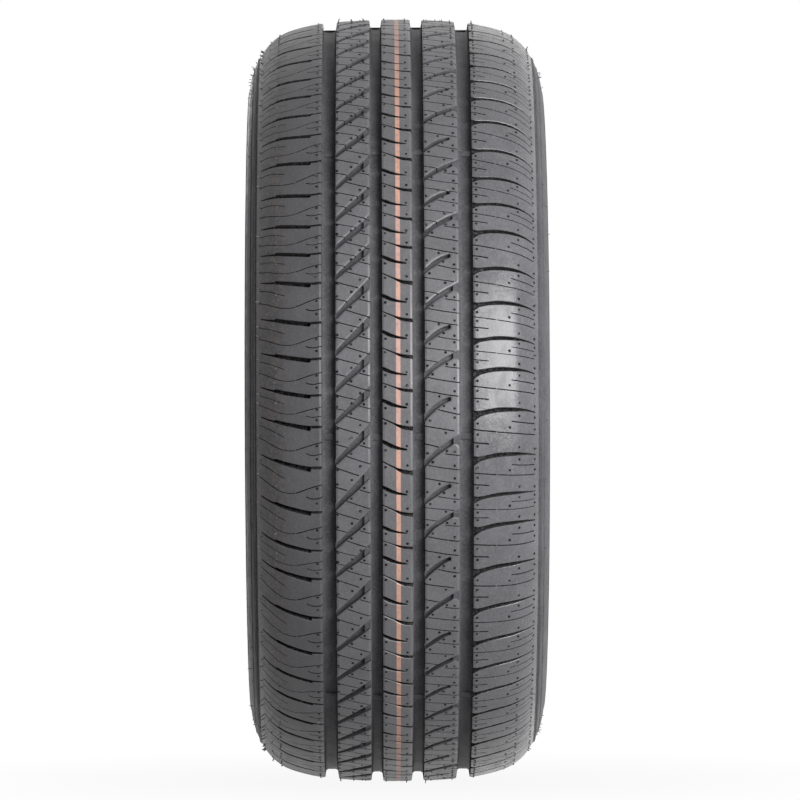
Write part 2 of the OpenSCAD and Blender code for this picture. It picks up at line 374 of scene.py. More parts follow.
def pitch_starts():
    """Angle in degrees at which each pitch starts, and how far it is stretched."""
    lengths = np.array([PITCH_RATIOS[p] for p in PITCHES])
    unit = 360 / lengths.sum()
    starts = FIRST_PITCH + unit * np.concatenate([[0], np.cumsum(lengths)[:-1]])
    return starts, lengths * math.radians(unit) * TOP_R / DRAWN_PITCH


def at_pitches(turn, kinds):
    """What each pitch of a rib has, and a function from the drawn distance to the place round the tread."""
    starts, stretches = pitch_starts()
    for i, start in enumerate(starts):
        place = math.radians(start + turn) * TOP_R
        # What reaches back over the pitch before stretches less than that pitch does
        ahead, back = stretches[i], BACK_FIXED + BACK_STRETCH * stretches[i - 1]
        yield kinds[i % len(kinds)], lambda s, p=place, a=ahead, b=back: p + np.where(s < 0, b, a) * s


def placed_cuts(turn, kinds):
    """Every cut of a rib in its place, and again across the seam."""
    for cuts, along in at_pitches(turn, kinds):
        for cut in cuts:
            outline = np.stack([cut.outline[:, 0], along(cut.outline[:, 1])], axis=1)
            for lap in (-ROUND, 0, ROUND):
                low, high = outline[:, 1].min() + lap, outline[:, 1].max() + lap
                if high > SEAM - 2 and low < SEAM + ROUND + 2:
                    yield outline + (0, lap), cut


def anticlockwise(outline):
    x, y = outline.T
    area = np.sum(x * np.roll(y, -1) - y * np.roll(x, -1))
    return outline if area > 0 else outline[::-1]


def distance_to(points, outline):
    """Distance of points from a closed outline."""
    start, end = outline, np.roll(outline, -1, axis=0)
    run = end - start
    length = np.maximum((run**2).sum(axis=1), 1e-12)
    t = ((points[:, None] - start) * run).sum(axis=2) / length
    near = start + np.clip(t, 0, 1)[..., None] * run
    return np.sqrt(((points[:, None] - near) ** 2).sum(axis=2)).min(axis=1)


def within(points, outline, margin):
    """Which points lie in the box round an outline, grown by a margin."""
    low, high = outline.min(axis=0) - margin, outline.max(axis=0) + margin
    return np.flatnonzero(((points > low) & (points < high)).all(axis=1))


def outset(outline, distance):
    """An outline moved outwards, corner by corner."""
    run = np.roll(outline, -1, axis=0) - outline
    run /= np.linalg.norm(run, axis=1)[:, None]
    out = np.stack([run[:, 1], -run[:, 0]], axis=1)
    corner = out + np.roll(out, 1, axis=0)
    square = np.maximum((corner**2).sum(axis=1), 0.5)[:, None]
    return outline + corner * 2 * distance / square


def flat_rib(low, high, turn, kinds):
    """The rib cut into triangles on the flat: points, triangles, the cut that each lies in, and all cuts."""
    corners = np.array([[low, SEAM], [high, SEAM], [high, SEAM + ROUND], [low, SEAM + ROUND]])
    cuts = [(anticlockwise(outline), cut) for outline, cut in placed_cuts(turn, kinds)]
    points, edges, faces = [corners], [], [[0, 1, 2, 3]]
    count = 4
    for outline, _ in cuts:
        faces.append(list(range(count, count + len(outline))))
        points.append(outline)
        count += len(outline)
    for outline, cut in cuts:
        if cut.edge:
            ids = list(range(count, count + len(outline)))
            edges += list(zip(ids, ids[1:] + ids[:1]))
            points.append(outset(outline, cut.edge))
            count += len(outline)
    steps = round(ROUND / GRID_DOWN)
    along = np.linspace(SEAM, SEAM + ROUND, steps + 1)
    for z in (low, low + RIM_W, high - RIM_W, high):
        edges += [(i, i + 1) for i in range(count, count + steps)]
        points.append(np.stack([np.full(steps + 1, z), along], axis=1))
        count += steps + 1

    # Points between the cuts, so that the surface follows the crown
    across = np.linspace(low, high, max(round((high - low) / GRID_ACROSS), 4) + 1)[1:-1]
    down = SEAM + ROUND * (np.arange(steps) + 0.5) / steps
    grid = np.stack(np.meshgrid(across, down), axis=2).reshape(-1, 2)
    clear = np.ones(len(grid), bool)
    for outline, _ in cuts:
        near = within(grid, outline, GRID_CLEAR)
        if len(near):
            clear[near] &= distance_to(grid[near], outline) > GRID_CLEAR
    points.append(grid[clear])

    flat = [Vector(p) for p in np.concatenate(points)]
    verts, _, triangles, _, _, sources = delaunay_2d_cdt(flat, edges, faces, 0, 1e-5)
    verts = np.array([v[:] for v in verts])
    for edge in (low, high):
        verts[np.abs(verts[:, 0] - edge) < 1e-3, 0] = edge
    kept, owners = [], []
    for triangle, source in zip(triangles, sources):
        if 0 not in source:
            continue
        z = verts[list(triangle), 0].mean()
        inside = [cuts[f - 1][1] for f in source if f > 0]
        kept.append(triangle)
        owners.append(max(inside, key=lambda cut: cut.depth(z)) if inside else None)
    return verts, kept, owners, cuts


def top_depths(verts, cuts, low, high):
    """How far the softened edges lower each point of a rib's top."""
    drop = np.zeros(len(verts))
    for outline, cut in cuts:
        if cut.edge:
            near = within(verts, outline, cut.edge)
            if len(near):
                gap = distance_to(verts[near], outline)
                drop[near] = np.maximum(drop[near], SOFT_EDGE * (1 - gap / cut.edge))
    rim = np.minimum(verts[:, 0] - low, high - verts[:, 0])
    return np.maximum(drop, RIM_DEPTH * (1 - rim / RIM_W))


# The materials of a rib: its top, a dark copy of the rubber for the walls of its cuts with the fine cuts,
# and a less dark copy for the slanted grooves' floors; both copies are painted shade
TOP, SHADE_PAINT, FLOOR_SHADE = 0, 1, 2


class RibMesh:
    """Turns a flat rib into a closed solid, wrapped on the crown."""

    def __init__(self, low, high, turn, kinds):
        self.low, self.high = low, high
        self.verts, self.triangles, self.owners, cuts = flat_rib(low, high, turn, kinds)
        self.top = top_depths(self.verts, cuts, low, high)
        self.bm = bmesh.new()
        self.made = {}
        self.levels = {}

    def foot_r(self, z):
        """Radius at which the wall at a long edge ends, a little inside the carcass."""
        if abs(z) == STRIP_END:
            return float(outer_r(z)) - STRIP_FOOT
        groove = min((g for g, _ in GROOVES), key=lambda g: abs(g - abs(z)))
        return float(outer_r(groove)) - sizes().groove_depth / MM - HIDDEN

    def place(self, z, s, depth):
        """A point of the tread in metres. The walls at the long edges lean out by their draft."""
        r = float(outer_r(z)) - depth
        for edge, way in ((self.low, -1), (self.high, 1)):
            if z == edge and abs(z) != STRIP_END:
                z += way * depth * DRAFT
        turn = s / TOP_R
        return Vector((r * math.cos(turn), z, -r * math.sin(turn))) * MM

    def vert(self, i, depth):
        key = (i, round(depth, 3))
        if key not in self.made:
            z, s = self.verts[i]
            self.made[key] = self.bm.verts.new(self.place(z, s, depth))
            self.levels.setdefault(i, []).append(key[1])
        return self.made[key]

    def depths(self, triangle, owner):
        if owner is None:
            return [self.top[i] for i in triangle]
        return [max(owner.depth(self.verts[i, 0]), self.top[i] + LEAST_DEPTH) for i in triangle]

    def ladder(self, i, start, end):
        """The corners between two depths at one point, so that walls share them."""
        between = sorted(d for d in self.levels[i] if min(start, end) + 1e-4 < d < max(start, end) - 1e-4)
        return [self.made[(i, d)] for d in (between if end > start else reversed(between))]

    def face(self, corners, material=TOP):
        loop = [v for v, before in zip(corners, corners[-1:] + corners[:-1]) if v is not before]
        if len(set(loop)) == len(loop) > 2:
            self.bm.faces.new(loop).material_index = material

    def wall(self, a, b, a_top, b_top, a_foot, b_foot, material=TOP):
        self.face(
            [self.vert(a, a_top), self.vert(b, b_top), *self.ladder(b, b_top, b_foot)]
            + [self.vert(b, b_foot), self.vert(a, a_foot), *self.ladder(a, a_foot, a_top)],
            material,
        )

    def build(self):
        sides, paints = {}, {}
        for triangle, owner in zip(self.triangles, self.owners):
            depth = [round(d, 3) for d in self.depths(triangle, owner)]
            # Faces sunk in a cut take a painted shade copy, the less dark one in the slanted grooves
            material = TOP if owner is None else FLOOR_SHADE if owner.edge == WIDE_EDGE else SHADE_PAINT
            self.face([self.vert(i, d) for i, d in zip(triangle, depth)][::-1], material)
            for k in range(3):
                a, b = triangle[k], triangle[(k + 1) % 3]
                sides[(a, b)] = (depth[k], depth[(k + 1) % 3])
                paints[(a, b)] = material
        feet = {}
        rims = []
        for a, b in sides:
            if (b, a) in sides:
                continue
            for edge in (self.low, self.high):
                if self.verts[a, 0] == edge == self.verts[b, 0]:
                    foot = float(outer_r(edge)) - self.foot_r(edge)
                    rims.append((a, b, foot))
                    feet.update({a: self.vert(a, foot), b: self.vert(b, foot)})
        for (a, b), (a_depth, b_depth) in sides.items():
            if (b, a) in sides and a < b:
                b_foot, a_foot = sides[(b, a)]
                if (a_foot, b_foot) != (a_depth, b_depth):
                    paint = max(paints[(a, b)], paints[(b, a)])
                    self.wall(a, b, a_depth, b_depth, a_foot, b_foot, paint)
        for a, b, foot in rims:
            # The long wall on the low side takes the dark painted shade copy, but not at the left shoulder's
            # outer edge
            shaded = self.verts[a, 0] == self.low != -STRIP_END
            self.wall(a, b, *sides[(a, b)], round(foot, 3), round(foot, 3), SHADE_PAINT if shaded else TOP)
        self.close(feet)
        bmesh.ops.remove_doubles(self.bm, verts=self.bm.verts[:], dist=1e-5)
        # A cut that crosses the seam can leave a sliver open there
        bmesh.ops.holes_fill(self.bm, edges=self.bm.edges[:], sides=3)
        bmesh.ops.triangulate(self.bm, faces=self.bm.faces[:])
        bmesh.ops.recalc_face_normals(self.bm, faces=self.bm.faces[:])
        return self.bm

    def close(self, feet):
        """Shuts the rib underneath, between the feet of its two long walls."""
        ids = list(feet)
        across = np.linspace(self.low, self.high, 7)[1:-1]
        steps = 120
        down = SEAM + ROUND * np.arange(steps + 1) / steps
        grid = np.stack(np.meshgrid(across, down), axis=2).reshape(-1, 2)
        flat = [Vector(self.verts[i]) for i in ids] + [Vector(p) for p in grid]
        points, _, triangles, origins, _, _ = delaunay_2d_cdt(flat, [], [], 0, 1e-5)
        deep = sizes().groove_depth / MM + 2 * HIDDEN
        corners = []
        for (z, s), origin in zip(points, origins):
            foot = [feet[ids[i]] for i in origin if i < len(ids)]
            corners.append(foot[0] if foot else self.bm.verts.new(self.place(z, s, deep)))
        for triangle in triangles:
            self.face([corners[i] for i in triangle])


# Objects


def sizes():
    return bpy.context.scene.tyre_sizes


def finish_piece(bm, name, materials, sharp=32):
    """Makes a bmesh an object that rides on the tyre, smooth but for its sharp edges."""
    mesh = bpy.data.meshes.new(name)
    bm.to_mesh(mesh)
    bm.free()
    mesh.polygons.foreach_set("use_smooth", [True] * len(mesh.polygons))
    mesh.set_sharp_from_angle(angle=math.radians(sharp))
    obj = bpy.data.objects.new(name, mesh)
    bpy.context.collection.objects.link(obj)
    for material in materials:
        mesh.materials.append(material)
    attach(obj, "root")
    return obj


def section_ring(points):
    """A closed section of [radius, across] in mm, spun about the tyre's axis."""
    bm = bmesh.new()
    verts = [bm.verts.new((r * MM, z * MM, 0)) for r, z in points]
    edges = [bm.edges.new(pair) for pair in zip(verts, verts[1:] + verts[:1])]
    bmesh.ops.spin(
        bm,
        geom=verts + edges,
        cent=(0, 0, 0),
        axis=(0, 1, 0),
        angle=2 * math.pi,
        steps=SPIN_STEPS,
        use_merge=True,
    )
    bmesh.ops.remove_doubles(bm, verts=bm.verts[:], dist=1e-6)
    bmesh.ops.recalc_face_normals(bm, faces=bm.faces[:])
    return bm


def arc(centre, radius, start, end, steps):
    """Points [radius, across] on an arc. An angle of 0 is outwards, and 90 away from the middle."""
    angles = [math.radians(start + (end - start) * i / steps) for i in range(steps + 1)]
    return [(centre[0] + radius * math.cos(a), centre[1] + radius * math.sin(a)) for a in angles]


def bend(a, b, c, steps):
    """Points on the curve that leaves a towards b and reaches c from it."""
    out = []
    for i in range(steps + 1):
        t = i / steps
        out.append(tuple((1 - t) ** 2 * p + 2 * t * (1 - t) * q + t * t * r for p, q, r in zip(a, b, c)))
    return out


def groove_floor(z, width):
    """The floor of one round groove, with its rounded corners let into the walls."""
    floor = float(outer_r(z)) - sizes().groove_depth / MM
    half = width / 2 - sizes().groove_depth / MM * DRAFT
    side = [(1.9, 0.35), (1.3, 0.1), (0.9, -0.25), (0.45, -0.85), (0.15, -1.5), (0, -1.9)]
    out = [(floor + rise, z - half - step) for rise, step in side]
    return out + [(floor + rise, z + half + step) for rise, step in reversed(side)]


def outer_half():
    """The carcass from the middle of the tread, under the ribs, down the sidewall to the toe."""
    under = sizes().groove_depth / MM + 0.2
    points = [(float(outer_r(z)) - under, z) for z in (0, 6, 11.2)]
    points += groove_floor(*GROOVES[0])
    points += [(float(outer_r(z)) - under, z) for z in (24, 32, 40, 48)]
    points += groove_floor(*GROOVES[1])
    points += [(float(outer_r(z)) - under, z) for z in (64, 72, 80, 88, 96, 102, 107)]
    points += [(float(outer_r(z)) - d, z) for z, d in ((111, 6.5), (114, 4.5), (115, 2.5))]
    start = math.degrees(math.asin((STRIP_END - SIDE_C[1]) / SIDE_R))
    side = [(a, 0.0) for a in np.linspace(start, 90, 24)]
    for drop, height, half in SIDE_RINGS:
        middle = math.degrees(drop / SIDE_R) + SIDE_START
        step = math.degrees(half / SIDE_R)
        side = [(a, h) for a, h in side if abs(a - middle) > step * 1.6]
        side += [(middle - step, 0), (middle - step / 2, height)]
        side += [(middle + step / 2, height), (middle + step, 0)]
    for a, height in sorted(side):
        points += arc(SIDE_C, SIDE_R + height, a, a, 1)[:1]
    guard = WIDEST_R - GUARD_W
    drop = SIDE_Z - HEEL_Z - FLANGE_R
    points += [(WIDEST_R - 0.8, SIDE_Z)]
    points += bend((guard, SIDE_Z), (guard - 3, SIDE_Z), (guard - 3.5, SIDE_Z - drop * 0.4), 6)
    points += arc((SEAT_R + HEEL_R + 2, HEEL_Z + FLANGE_R), FLANGE_R, 0, -90, 12)
    points += arc((SEAT_R + HEEL_R, HEEL_Z - HEEL_R), HEEL_R, 90, 180, 8)
    points += [(SEAT_R, HEEL_Z - HEEL_R - 6), (SEAT_R, SEAT_END), (SEAT_R - 0.9, SEAT_END - 2)]
    return points


def inner_half():
    """The inside, from the middle of the liner to the toe."""
    widest = (WIDEST_R, SIDE_Z - SIDE_WALL)
    points = [(LINER_R, 0), (LINER_R, 23)]
    points += bend((LINER_R - 2.5, 70), (LINER_R - 12.5, widest[1] - SIDE_WALL / 3), widest, 16)
    toe = bend((widest[0] - 1, widest[1] - 0.2), (SEAT_R + 15, TOE_Z + 9), (SEAT_R + 1.5, TOE_Z - 1), 14)
    return points + toe + [(SEAT_R - 1.2, TOE_Z)]


def flipped(points):
    return [(r, -z) for r, z in points]


def carcass_section():
    """The whole closed section, without doubled points in the middle plane."""
    outer, inner = outer_half(), inner_half()
    return flipped(outer[1:])[::-1] + outer + inner[::-1] + flipped(inner[1:])


def wear_bars(bm):
    """The low bars across each round groove that show when it is worn out."""
    for z, width in GROOVES:
        floor = float(outer_r(z)) - sizes().groove_depth / MM
        for side in (-1, 1):
            for i in range(BARS):
                made = bmesh.ops.create_cube(bm, size=1)["verts"]
                size = Matrix.Diagonal((BAR_HEIGHT + 1, width - 1.2, BAR_LENGTH, 1))
                bmesh.ops.transform(bm, matrix=size, verts=made)
                edges = set(e for v in made for e in v.link_edges)
                rims = [e for e in edges if all(v.co.x > 0 for v in e.verts)]
                rims = [e for e in rims if abs(e.verts[0].co.z - e.verts[1].co.z) < 0.1]
                done = bmesh.ops.bevel(
                    bm, geom=rims, offset=BAR_BEVEL, affect="EDGES", segments=3, profile=0.5, material=-1
                )
                made = list({v for v in made if v.is_valid} | set(done["verts"]))
                shift = Vector(((BAR_HEIGHT - 1) / 2 + floor, side * z, 0))
                bmesh.ops.translate(bm, vec=shift, verts=made)
                turn = Matrix.Rotation(math.radians(FIRST_BAR + i * 360 / BARS), 3, "Y")
                bmesh.ops.rotate(bm, cent=(0, 0, 0), matrix=turn, verts=made)
                bmesh.ops.scale(bm, vec=(MM, MM, MM), verts=made)


def on_tread(z, s):
    """Matrix that puts something that stands on +Z upright on the tyre, in millimetres."""
    slope = math.atan(float(outer_r(z - 0.5)) - float(outer_r(z + 0.5)))
    out = Matrix.Rotation(slope, 4, "Z") @ Matrix.Rotation(math.pi / 2, 4, "Y")
    turn = Matrix.Rotation(s / TOP_R, 4, "Y")
    return Matrix.Scale(MM, 4) @ turn @ Matrix.Translation((float(outer_r(z)), z, 0)) @ out


def add_stub(bm, z, s, height, radius, lean, material=TOP):
    """One stub of rubber that stands on the tyre, leaning by two angles."""
    tilt = Matrix.Rotation(lean[0], 4, "X") @ Matrix.Rotation(lean[1], 4, "Y")
    verts = bmesh.ops.create_cone(
        bm,
        cap_ends=True,
        segments=6,
        radius1=radius,
        radius2=radius * 0.8,
        depth=height + 0.6,
        matrix=on_tread(z, s) @ tilt @ Matrix.Translation((0, 0, height / 2 - 0.3)),
    )["verts"]
    for face in {face for vert in verts for face in vert.link_faces}:
        face.material_index = material


def add_painted_shadow(bm, z, s, radius):
    """A dark disc round a stub, just above the tread: painted shadow."""
    place = on_tread(z, s) @ Matrix.Translation((0, 0, 0.03))
    verts = bmesh.ops.create_circle(bm, cap_ends=True, segments=9, radius=radius, matrix=place)["verts"]
    verts[0].link_faces[0].material_index = SHADE_PAINT


# Shader sums


class Sum:
    """A shader socket that adds, takes away, multiplies and divides as a number does."""

    def __init__(self, tree, socket):
        self.tree, self.socket = tree, socket

    def math(self, operation, *values, clamp=False):
        node = self.tree.nodes.new("ShaderNodeMath")
        node.operation = operation
        node.use_clamp = clamp
        for slot, value in zip(node.inputs, values):
            join(self.tree, value, slot)
        return Sum(self.tree, node.outputs[0])

    def __add__(self, other):
        return self.math("ADD", self, other)

    def __sub__(self, other):
        return self.math("SUBTRACT", self, other)

    def __rsub__(self, other):
        return self.math("SUBTRACT", other, self)

    def __mul__(self, other):
        return self.math("MULTIPLY", self, other)

    def __truediv__(self, other):
        return self.math("DIVIDE", self, other)

    def __pow__(self, other):
        return self.math("POWER", self, other)

    __radd__, __rmul__ = __add__, __mul__

    def ramp(self, low, high):
        """0 below low, 1 above high, and a straight rise between; low may be the greater."""
        return self.math("MULTIPLY", self - low, 1 / (high - low), clamp=True)

    def band(self, low, high, soft):
        """1 between two values, falling to 0 over a soft margin outside them."""
        return self.ramp(low - soft, low) * self.ramp(high + soft, high)


def join(tree, value, slot):
    """Links a socket to a shader input, or sets its value."""
    if isinstance(value, Sum):
        tree.links.new(value.socket, slot)
    elif isinstance(value, bpy.types.NodeSocket):
        tree.links.new(value, slot)
    else:
        slot.default_value = value


class Shader:
    """A material under construction."""

    def __init__(self, name):
        old = bpy.data.materials.get(name)
        if old:
            bpy.data.materials.remove(old)
        self.material = bpy.data.materials.new(name)
        self.material.use_nodes = True
        self.tree = self.material.node_tree
        self.surface = self.tree.nodes["Principled BSDF"]
        self.output = self.tree.nodes["Material Output"]

    def node(self, kind, settings=None, **values):
        """Adds a node: its settings are set first, then its sockets, named with _ for a space."""
        node = self.tree.nodes.new(kind)
        for key, value in (settings or {}).items():
            setattr(node, key, value)
        for key, value in values.items():
            join(self.tree, value, node.inputs[key.replace("_", " ")])
        return node

    def place(self):
        """The point of the piece in metres, as a vector socket."""
        return self.node("ShaderNodeTexCoord").outputs["Object"]

    def axes(self, vector):
        parts = self.node("ShaderNodeSeparateXYZ", Vector=vector)
        return [Sum(self.tree, socket) for socket in parts.outputs]

    def noise(self, vector, size, detail, rough, stretch=(1, 1, 1)):
        """Noise from 0 to 1 whose lumps are about as large as size, in metres."""
        moved = self.node("ShaderNodeMapping", Vector=vector, Scale=stretch).outputs[0]
        node = self.node(
            "ShaderNodeTexNoise", Vector=moved, Scale=1 / size, Detail=detail, Roughness=rough
        )
        return Sum(self.tree, node.outputs["Fac"])

    def mix(self, factor, a, b):
        """Colour a where the factor is 0, and b where it is 1."""
        node = self.node("ShaderNodeMix", {"data_type": "RGBA"}, Factor=factor)
        join(self.tree, a, node.inputs[6])
        join(self.tree, b, node.inputs[7])
        return node.outputs[2]

    def bump(self, height, distance):
        return self.node("ShaderNodeBump", Height=height, Distance=distance, Strength=1.0).outputs[0]

    def set(self, **values):
        for key, value in values.items():
            join(self.tree, value, self.surface.inputs[key.replace("_", " ")])


def lit(colour, factor):
    """A colour made lighter or darker by a factor."""
    return (*(c * factor for c in colour[:3]), 1)


def rubber(name, tone=1.0, rough=0.0, shine=1.0, marks=True):
    """Moulded rubber: uneven in tone and gloss, with dust in its pores."""
    look = bpy.context.scene.tyre_look
    shader = Shader(name)
    at = shader.place()
    x, y, z = shader.axes(at)
    base = lit(look.rubber, tone)
    cloud = shader.noise(at, 0.035, 4, 0.6)
    grain = shader.noise(at, 0.0022, 3, 0.6)
    speck = shader.noise(at, 0.0009, 2, 0.5)
    tint = shader.mix(cloud.ramp(0.36, 0.66), lit(base, 0.84), lit(base, 1.16))
    tint = shader.mix(grain.ramp(0.45, 0.75) * 0.35, tint, lit(look.dust, 1))
    gloss = shader.noise(at, 0.012, 3, 0.55)
    roughness = look.roughness + rough + (gloss - 0.5) * 0.3 + (grain - 0.5) * 0.12
    if marks:
        # The left shoulder is painted darker, which is painted shade from the light at the right; the three
        # middle ribs are a little paler, and the right shoulder is glossy in patches
        tint = shader.mix(y.ramp(-0.050, -0.060) * 0.42, tint, lit(look.rubber, 0.2))
        tint = shader.mix(y.band(-0.050, 0.050, 0.006) * 0.10, tint, lit(look.dust, 1))
        patches = shader.noise(at, 0.014, 3, 0.6, (1, 1.6, 1)).ramp(0.30, 0.52)
        roughness = roughness - y.ramp(0.050, 0.060) * patches * 0.16 - y.ramp(-0.015, 0.015) * 0.04
        # The painted line round the middle rib, thin in places, and paler in a band from the axle's height
        # up, front and back, which is a painted highlight
        reach = (x * x + z * z) ** 0.5
        on_top = reach.ramp((TOP_R - 3.2) * MM, (TOP_R - 2.2) * MM)
        edge = (speck - 0.5) * 0.0005
        stripe = (y + edge).band(-0.0009, 0.0022, 0.0005) * on_top
        worn = shader.noise(at, 0.004, 4, 0.7).ramp(0.30, 0.55)
        thin = shader.noise(at, 0.011, 3, 0.6).ramp(0.42, 0.58)
        # Random thin patches, and the band in height, which is a painted highlight
        thin_and_highlight = thin * 0.5 + z.band(0.0, 0.13, 0.04) * 0.4
        paint = shader.mix(thin_and_highlight, lit(look.stripe, 1), lit(look.thin_and_sheen_stripe, 1))
        tint = shader.mix(stripe * (worn * 0.35 + 0.6), tint, paint)
        # Brown bloom on the outer left shoulder
        outer = y.ramp(-0.088, -0.096)
        bloom = outer * shader.noise(at, 0.008, 4, 0.65).ramp(0.42, 0.62)
        tint = shader.mix(bloom * 0.55, tint, lit(look.bloom, 1))
        mottle = outer * shader.noise(at, 0.003, 3, 0.6).ramp(0.40, 0.60)
        tint = shader.mix(mottle * 0.5, tint, lit(look.rubber, 0.25))
        # Chalk dust low on the right rib, and a little in the groove beside it
        low = y.band(0.026, 0.047, 0.006) * z.ramp(-0.262, -0.280) * x.ramp(0.05, 0.1)
        side = y.band(0.013, 0.021, 0.003) * z.band(0.010, 0.026, 0.008) * x.ramp(0.2, 0.25)
        chalk = shader.noise(at, 0.0016, 2, 0.4).ramp(0.69, 0.73) * (low + side * 0.8)
        tint = shader.mix(chalk, tint, lit(look.chalk, 1))
    shader.set(Base_Color=tint, Roughness=roughness)
    shader.set(Specular_IOR_Level=look.shine * shine, Sheen_Weight=0.06, Sheen_Roughness=0.5)
    height = (gloss - 0.5) * 0.6 + (grain - 0.5) * 0.25 + (speck - 0.5) * 0.12
    shader.set(Normal=shader.bump(height, look.relief))
    return shader.material


# Settings in the sidebar


class TyreSizes(bpy.types.PropertyGroup):
    groove_depth: bpy.props.FloatProperty(
        name="Groove depth", description="Depth of the grooves round the tyre", default=0.008, unit="LENGTH"
    )
    stub_radius: bpy.props.FloatProperty(
        name="Stub radius", description="Radius of the stubs of the vents", default=0.0005, unit="LENGTH"
    )
    stub_height: bpy.props.FloatProperty(
        name="Stub height", description="Height of a short stub on the tread", default=0.0012, unit="LENGTH"
    )
    hair_height: bpy.props.FloatProperty(
        name="Hair height", description="Length of the longest vent hairs", default=0.003, unit="LENGTH"
    )


class TyreLook(bpy.types.PropertyGroup):
    rubber: bpy.props.FloatVectorProperty(
        name="Rubber", description="Colour of the rubber", subtype="COLOR", default=(0.122, 0.120, 0.131)
    )
    dust: bpy.props.FloatVectorProperty(
        name="Dust",
        description="Colour of the dust in the pores",
        subtype="COLOR",
        default=(0.26, 0.255, 0.255),
    )
    stripe: bpy.props.FloatVectorProperty(
        name="Stripe", description="Colour of the painted line", subtype="COLOR", default=(0.78, 0.42, 0.30)
    )
    # Also the colour of the painted highlight on the line
    thin_and_sheen_stripe: bpy.props.FloatVectorProperty(
        name="Thin stripe",
        description="Colour of the painted line where it is thin",
        subtype="COLOR",
        default=(0.68, 0.43, 0.39),
    )
    bloom: bpy.props.FloatVectorProperty(
        name="Bloom",
        description="Brown bloom on the left shoulder",
        subtype="COLOR",
        default=(0.17, 0.14, 0.125),
    )
    chalk: bpy.props.FloatVectorProperty(
        name="Chalk", description="Colour of the chalk dust", subtype="COLOR", default=(0.75, 0.75, 0.74)
    )
    roughness: bpy.props.FloatProperty(
        name="Roughness", description="Roughness of the rubber", subtype="FACTOR", default=0.42, min=0, max=1
    )
    shine: bpy.props.FloatProperty(
        name="Shine", description="Strength of the reflections", subtype="FACTOR", default=0.5, min=0, max=1
    )
    relief: bpy.props.FloatProperty(
        name="Relief", description="Height of the unevenness of the rubber", default=0.0004, unit="LENGTH"
    )


class TyreStudio(bpy.types.PropertyGroup):
    key: bpy.props.FloatProperty(
        name="Key light", description="Power of the large light at the right", default=115.0, unit="POWER"
    )
    back: bpy.props.FloatProperty(
        name="Back light", description="Power of the light behind the tyre", default=50.0, unit="POWER"
    )
    sky: bpy.props.FloatProperty(
        name="Room light", description="Strength of the even light of the room", default=0.02, min=0
    )


# Pieces


class TYRE_OT_tread(bpy.types.Operator):
    """Builds the five ribs of the tread, with their grooves and sipes"""

    bl_idname = "tyre.tread"
    bl_label = "Tread"

    def execute(self, context):
        materials = [
            rubber("tread_rubber"),
            # Painted shade: a dark copy for the walls of the cuts and the fine cuts
            rubber("cut_painted_shade", tone=0.15, rough=0.3, shine=0.05, marks=False),
            # Painted shade: a less dark copy for the floors and walls of the slanted grooves
            rubber("groove_painted_shade", tone=0.8, rough=0.1, shine=0.4, marks=False),
        ]
        for name, rib in RIBS.items():
            finish_piece(RibMesh(*rib).build(), name, materials, 15)
        return {"FINISHED"}


class TYRE_OT_carcass(bpy.types.Operator):
    """Builds the groove floors, sidewalls, beads and inside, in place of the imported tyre"""

    bl_idname = "tyre.carcass"
    bl_label = "Carcass"

    def execute(self, context):
        material = rubber("sidewall_rubber", tone=0.75, rough=0.1, shine=0.3, marks=False)
        carcass = finish_piece(section_ring(carcass_section()), "carcass", [material])
        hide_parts("tyre")
        bm = bmesh.new()
        wear_bars(bm)
        finish_piece(bm, "wear_bars", [material], 50)
        return {"FINISHED"}


class TYRE_OT_stubs(bpy.types.Operator):
    """Builds the stubs and hairs left by the air vents of the mould"""

    bl_idname = "tyre.stubs"
    bl_label = "Vent stubs"

    def execute(self, context):
        rng = random.Random(7)
        radius, height = sizes().stub_radius / MM, sizes().stub_height / MM
        hair = sizes().hair_height / MM
        bm = bmesh.new()
        for name, (_, _, turn, kinds) in RIBS.items():
            for stubs, along in at_pitches(turn, STUBS[name]):
                for z, s in stubs:
                    s = float(along(s))
                    lean = (rng.uniform(-0.4, 0.4), rng.uniform(-0.4, 0.4))
                    tall = height * rng.uniform(0.4, 1.2)
                    if z < LONG_FROM or rng.random() < LONG_SHARE:
                        tall = hair * rng.uniform(0.7, 1.1)
                    # Short stubs away from the outer edge are thinner and nearly black, painted shade that
                    # makes them dark dots
                    short = tall < 1.5 * height and z > UNSHADED_FROM
                    material, thick = (SHADE_PAINT, 0.55) if short else (TOP, 1)
                    add_stub(bm, z, s, tall, radius * thick * rng.uniform(0.8, 1.1), lean, material)
                    # Stubs away from the outer edge get a dark disc round them, a painted shadow
                    shadow_radius = radius * rng.uniform(2.0, 2.5)
                    if z > UNSHADED_FROM:
                        add_painted_shadow(bm, z, s, shadow_radius)
        for _ in range(SIDE_HAIRS):
            z = rng.choice((-1, 1)) * rng.uniform(118, SIDE_Z - 0.8)
            lean = (rng.uniform(-0.7, 0.7), rng.uniform(-0.7, 0.7))
            add_stub(bm, z, rng.uniform(0, ROUND), hair * rng.uniform(0.3, 1.2), radius * 0.6, lean)
        materials = [
            # A little lighter than the tread: a painted highlight on the stubs and hairs
            rubber("stub_painted_highlight", tone=1.1, marks=False),
            # Nearly black: painted shadow for the discs and the short stubs
            rubber("stub_painted_shadow", tone=0.1, rough=0.3, shine=0.05, marks=False),
        ]
        finish_piece(bm, "vent_stubs", materials, 60)
        return {"FINISHED"}


# The studio


def lamp(name, power, size, place):
    """A square soft light that faces the middle of the tyre."""
    data = bpy.data.lights.new(name, "AREA")
    data.size = size
    data.energy = power
    obj = bpy.data.objects.new(name, data)
    obj.location = place
    obj.rotation_euler = (-Vector(place)).to_track_quat("-Z", "Y").to_euler()
    bpy.context.collection.objects.link(obj)


